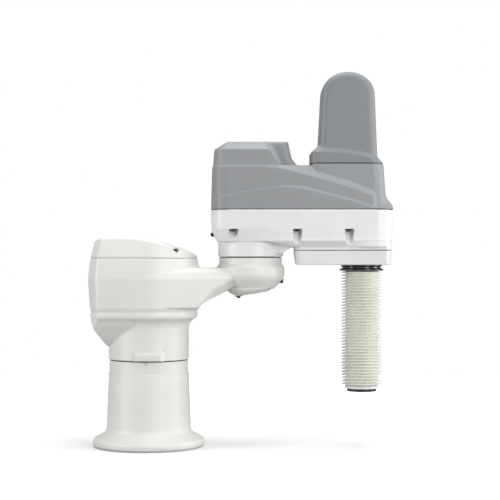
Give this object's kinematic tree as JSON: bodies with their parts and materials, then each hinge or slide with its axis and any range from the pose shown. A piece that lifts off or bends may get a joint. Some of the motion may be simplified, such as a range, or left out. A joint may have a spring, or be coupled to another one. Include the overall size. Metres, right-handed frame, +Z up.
{
  "type": "scara robot arm",
  "caption": "Tabletop SCARA arm: round pedestal, two level links, grey domed covers and a vertical quill inside a ribbed bellows with a round tool flange.",
  "frame": {"origin": "on the first axis at the underside of the pedestal's base flange", "axes": "+Z up along the first axis; +X along the straight arm towards the quill; +Y to the left of the arm seen from behind"},
  "size_m": [0.6579, 0.24, 0.808],
  "materials": {
    "painted_pedestal": "white powder coat, satin",
    "painted_arm": "white powder coat, satin",
    "painted_forearm": "white powder coat, satin",
    "grey_cover": "moulded, fine satin texture",
    "bellows_fabric": "ivory coated bellows, matte",
    "black_rubber": "matte",
    "black_screw": "black oxide",
    "machined_steel": "ground",
    "cast_aluminium": "as cast",
    "black_tool_flange": "hard anodised, satin",
    "motor_black": "black coated",
    "black_plastic": "moulded",
    "brass": "nickel free, satin",
    "circuit_board": "solder mask"
  },
  "bodies": {
    "base": {"base_pedestal": "painted_pedestal", "connector_plate": "cast_aluminium", "power_connector": "black_plastic", "signal_connectors": "machined_steel", "air_fittings": "brass", "connector_plate_screws": "machined_steel", "base_harness": "black_rubber", "j1_bearing_outer_ring": "machined_steel", "j1_bearing_rollers": "machined_steel", "j1_fixed_flange": "cast_aluminium", "j1_flange_screws": "machined_steel", "j1_seal": "black_rubber"},
    "upper_arm": {"upper_arm_casting": "painted_arm", "upper_arm_lid": "painted_arm", "lid_gasket": "black_rubber", "lid_screws": "black_screw", "j1_bearing_inner_ring": "machined_steel", "j1_gearbox": "machined_steel", "j1_motor": "motor_black", "j1_encoder": "cast_aluminium", "arm_harness": "black_rubber", "j2_gearbox": "machined_steel", "j2_bearing_outer_ring": "machined_steel", "j2_seal": "black_rubber", "elbow_cover": "painted_arm", "elbow_cover_gasket": "black_rubber", "elbow_cover_screws": "black_screw"},
    "forearm": {"forearm_casting": "painted_forearm", "j2_bearing_inner_ring": "machined_steel", "j2_output_flange": "cast_aluminium", "j2_motor": "motor_black", "forearm_cover": "grey_cover", "cover_gasket": "black_rubber", "cover_screws": "black_screw", "tower_cover": "grey_cover", "tower_gasket": "black_rubber", "quill_bottom_cap": "painted_forearm", "bottom_cap_gasket": "black_rubber", "drive_bracket": "cast_aluminium", "nut_housing": "machined_steel", "spline_nut_bearing": "machined_steel", "j3_motor": "motor_black", "j4_motor": "motor_black", "j3_belt": "black_rubber", "j4_belt": "black_rubber", "drive_board": "circuit_board", "bellows_top_clamp": "black_rubber", "bellows": "bellows_fabric"},
    "screw_nut_unit": {"screw_nut": "machined_steel", "screw_nut_pulley": "cast_aluminium"},
    "spline_nut_unit": {"spline_nut": "machined_steel", "spline_nut_pulley": "cast_aluminium"},
    "j3_pulley_shaft": {"j3_motor_pulley": "cast_aluminium"},
    "j4_pulley_shaft": {"j4_motor_pulley": "cast_aluminium"},
    "bellows_cuff": {"bellows_lower_cuff": "painted_forearm", "cuff_bearing": "machined_steel"},
    "quill": {"quill_shaft": "machined_steel", "quill_stop_collar": "machined_steel", "tool_flange": "black_tool_flange"}
  },
  "joints": [
    {"name": "j1_rotation", "type": "hinge", "parent": "base", "child": "upper_arm", "pos_m": [0, 0, 0.188], "axis": [0, 0, 1], "range_deg": [-180, 180]},
    {"name": "j2_rotation", "type": "hinge", "parent": "upper_arm", "child": "forearm", "pos_m": [0.22, 0, 0.4075], "axis": [0, 0, 1], "range_deg": [-120, 120]},
    {"name": "quill_slide", "type": "slide", "parent": "forearm", "child": "bellows_cuff", "axis": [0, 0, 1], "range_m": [0, 0.2], "deforming": ["bellows"]},
    {"name": "tool_roll", "type": "hinge", "parent": "bellows_cuff", "child": "quill", "pos_m": [0.46, 0, 0.1184], "axis": [0, 0, 1], "range_deg": [-400, 400]},
    {"name": "screw_nut_spin", "type": "hinge", "parent": "forearm", "child": "screw_nut_unit", "pos_m": [0.46, 0, 0.475], "axis": [0, 0, 1], "range_deg": [-3610, 10]},
    {"name": "j3_pulley_spin", "type": "hinge", "parent": "forearm", "child": "j3_pulley_shaft", "pos_m": [0.395, 0, 0.462], "axis": [0, 0, 1], "range_deg": [-9010, 10]},
    {"name": "spline_nut_spin", "type": "hinge", "parent": "forearm", "child": "spline_nut_unit", "pos_m": [0.46, 0, 0.42], "axis": [0, 0, 1], "range_deg": [-405, 405]},
    {"name": "j4_pulley_spin", "type": "hinge", "parent": "forearm", "child": "j4_pulley_shaft", "pos_m": [0.34, 0, 0.432], "axis": [0, 0, 1], "range_deg": [-1010, 1010]}
  ],
  "couplings": [
    {"joint": "screw_nut_spin", "follows": "quill_slide", "rad_per_m": -314.16},
    {"joint": "j3_pulley_spin", "follows": "quill_slide", "rad_per_m": -785.4},
    {"joint": "spline_nut_spin", "follows": "tool_roll", "ratio": 1},
    {"joint": "j4_pulley_spin", "follows": "tool_roll", "ratio": 2.5}
  ]
}
